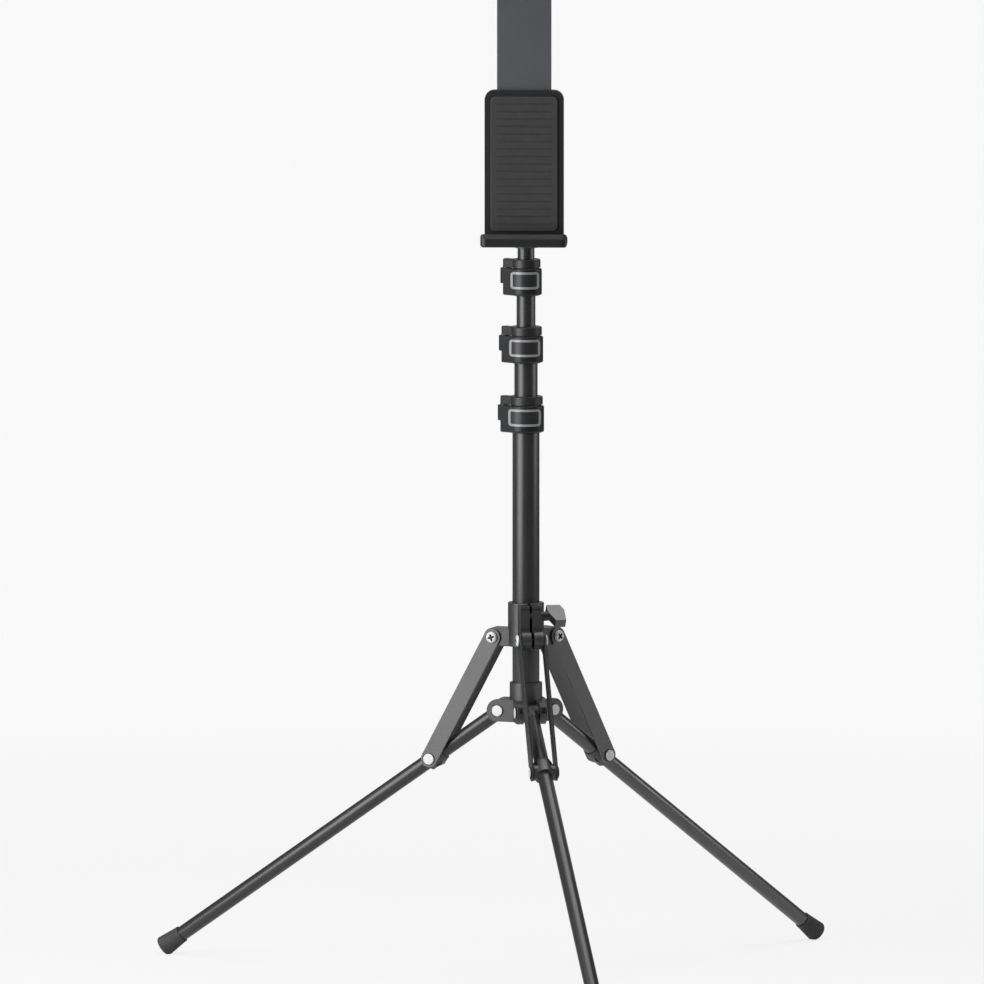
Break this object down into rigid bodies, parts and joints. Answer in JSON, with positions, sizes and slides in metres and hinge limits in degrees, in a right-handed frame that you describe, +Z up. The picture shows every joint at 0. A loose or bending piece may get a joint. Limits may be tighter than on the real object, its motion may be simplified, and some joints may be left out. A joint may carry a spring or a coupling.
{
  "type": "tablet floor stand",
  "caption": "Folding tripod floor stand with braced legs, a telescopic mast with flip locks, a tilting head and a clamp holder for a tablet.",
  "frame": {"origin": "on the column axis, on the floor under the hub", "axes": "+Z up along the column; the holder faces -Y; +X is to the right of someone facing the holder"},
  "size_m": [0.5436, 0.5295, 0.8289],
  "materials": {
    "tube_coat": "satin black",
    "brace_steel": "semi-matte black",
    "black_plastic": "fine grain",
    "lever_plastic": "smooth",
    "grey_plastic": "fine grain",
    "bright_steel": "bright",
    "frame_trim": "satin",
    "rubber": "matte",
    "nylon": "natural",
    "plate_steel": "satin black"
  },
  "bodies": {
    "column": {"leg_hub": "black_plastic", "hub_rivets": "bright_steel", "main_tube": "tube_coat", "lock_1_body": "black_plastic", "lock_1_pin": "bright_steel"},
    "leg_1": {"leg_1_tube": "tube_coat", "leg_1_knuckle": "black_plastic", "leg_1_foot": "rubber", "leg_1_bracket": "black_plastic"},
    "leg_2": {"leg_2_tube": "tube_coat", "leg_2_knuckle": "black_plastic", "leg_2_foot": "rubber", "leg_2_bracket": "black_plastic"},
    "leg_3": {"leg_3_tube": "tube_coat", "leg_3_knuckle": "black_plastic", "leg_3_foot": "rubber", "leg_3_bracket": "black_plastic"},
    "collar": {"collar": "black_plastic", "collar_screws": "bright_steel"},
    "brace_1": {"brace_1_left": "brace_steel", "brace_1_right": "brace_steel", "brace_1_rivets": "bright_steel"},
    "brace_2": {"brace_2_left": "brace_steel", "brace_2_right": "brace_steel", "brace_2_rivets": "bright_steel"},
    "brace_3": {"brace_3_left": "brace_steel", "brace_3_right": "brace_steel", "brace_3_rivets": "bright_steel"},
    "collar_knob": {"collar_knob": "grey_plastic", "collar_bolt": "bright_steel"},
    "tube_2": {"tube_2": "tube_coat", "bush_2": "nylon", "lock_2_body": "black_plastic", "lock_2_pin": "bright_steel"},
    "tube_3": {"tube_3": "tube_coat", "bush_3": "nylon", "lock_3_body": "black_plastic", "lock_3_pin": "bright_steel"},
    "tube_4": {"tube_4": "tube_coat", "bush_4": "nylon", "head_base": "black_plastic"},
    "lever_1": {"lock_1_lever": "lever_plastic", "lock_1_frame": "frame_trim"},
    "lever_2": {"lock_2_lever": "lever_plastic", "lock_2_frame": "frame_trim"},
    "lever_3": {"lock_3_lever": "lever_plastic", "lock_3_frame": "frame_trim"},
    "tilt": {"tilt_arm": "black_plastic", "swivel_nut": "bright_steel"},
    "tilt_knob": {"tilt_knob": "grey_plastic", "tilt_bolt": "bright_steel"},
    "holder": {"holder_back": "black_plastic", "holder_front": "black_plastic", "back_pad": "rubber", "lower_pad": "rubber"},
    "slide": {"slide_plate": "plate_steel", "upper_jaw": "black_plastic", "upper_pad": "rubber"},
    "thumb_screw": {"thumb_screw": "grey_plastic"}
  },
  "joints": [
    {"name": "leg_1_fold", "type": "hinge", "parent": "column", "child": "leg_1", "pos_m": [0.00426, -0.01985, 0.21237], "axis": [-0.9778, -0.2096, 0], "range_deg": [0, 118.6]},
    {"name": "leg_2_fold", "type": "hinge", "parent": "column", "child": "leg_2", "pos_m": [0.01506, 0.01361, 0.21237], "axis": [0.6704, -0.742, 0], "range_deg": [0, 118.6]},
    {"name": "leg_3_fold", "type": "hinge", "parent": "column", "child": "leg_3", "pos_m": [-0.01932, 0.00624, 0.21237], "axis": [0.3074, 0.9516, 0], "range_deg": [0, 118.6]},
    {"name": "collar_slide", "type": "slide", "parent": "column", "child": "collar", "axis": [0, 0, 1], "range_m": [0, 0.1283]},
    {"name": "brace_1_swing", "type": "hinge", "parent": "collar", "child": "brace_1", "pos_m": [0.00538, -0.02508, 0.27207], "axis": [0.9778, 0.2096, 0], "range_deg": [0, 26.74]},
    {"name": "brace_2_swing", "type": "hinge", "parent": "collar", "child": "brace_2", "pos_m": [0.01903, 0.0172, 0.27207], "axis": [-0.6704, 0.742, 0], "range_deg": [0, 26.74]},
    {"name": "brace_3_swing", "type": "hinge", "parent": "collar", "child": "brace_3", "pos_m": [-0.02441, 0.00788, 0.27207], "axis": [-0.3074, -0.9516, 0], "range_deg": [0, 26.74]},
    {"name": "collar_knob_turn", "type": "hinge", "parent": "collar", "child": "collar_knob", "pos_m": [0.00378, -0.01765, 0.29087], "axis": [0.9778, 0.2096, 0], "range_deg": [0, 270]},
    {"name": "tube_2_slide", "type": "slide", "parent": "column", "child": "tube_2", "axis": [0, 0, 1], "range_m": [-0.0249, 0.17]},
    {"name": "tube_3_slide", "type": "slide", "parent": "tube_2", "child": "tube_3", "axis": [0, 0, 1], "range_m": [-0.0232, 0.17]},
    {"name": "tube_4_slide", "type": "slide", "parent": "tube_3", "child": "tube_4", "axis": [0, 0, 1], "range_m": [-0.0072, 0.17]},
    {"name": "lock_1_flip", "type": "hinge", "parent": "column", "child": "lever_1", "pos_m": [-0.018, 0.0027, 0.45427], "axis": [0, 0, -1], "range_deg": [0, 110]},
    {"name": "lock_2_flip", "type": "hinge", "parent": "tube_2", "child": "lever_2", "pos_m": [-0.01714, 0.00302, 0.51097], "axis": [0, 0, -1], "range_deg": [0, 110]},
    {"name": "lock_3_flip", "type": "hinge", "parent": "tube_3", "child": "lever_3", "pos_m": [-0.01593, 0.00345, 0.56597], "axis": [0, 0, -1], "range_deg": [0, 110]},
    {"name": "head_tilt", "type": "hinge", "parent": "tube_4", "child": "tilt", "pos_m": [0, 0, 0.64207], "axis": [-1, 0, 0], "range_deg": [-25, 85]},
    {"name": "tilt_knob_turn", "type": "hinge", "parent": "tube_4", "child": "tilt_knob", "pos_m": [0, 0, 0.64207], "axis": [1, 0, 0], "range_deg": [0, 270]},
    {"name": "holder_turn", "type": "hinge", "parent": "tilt", "child": "holder", "pos_m": [0, -0.04605, 0.64207], "axis": [0, -1, 0], "range_deg": [-90, 90]},
    {"name": "jaw_slide", "type": "slide", "parent": "holder", "child": "slide", "axis": [0, 0, 1], "range_m": [-0.08265, 0.006]},
    {"name": "thumb_screw_turn", "type": "hinge", "parent": "holder", "child": "thumb_screw", "pos_m": [0, -0.04605, 0.71087], "axis": [0, 1, 0], "range_deg": [0, 270]}
  ],
  "couplings": [
    {"joint": "leg_2_fold", "follows": "leg_1_fold", "ratio": 1},
    {"joint": "leg_3_fold", "follows": "leg_1_fold", "ratio": 1},
    {"joint": "collar_slide", "follows": "leg_1_fold", "m_per_rad": 0.061883},
    {"joint": "brace_1_swing", "follows": "leg_1_fold", "ratio": 0.22504},
    {"joint": "brace_2_swing", "follows": "leg_1_fold", "ratio": 0.22504},
    {"joint": "brace_3_swing", "follows": "leg_1_fold", "ratio": 0.22504}
  ]
}
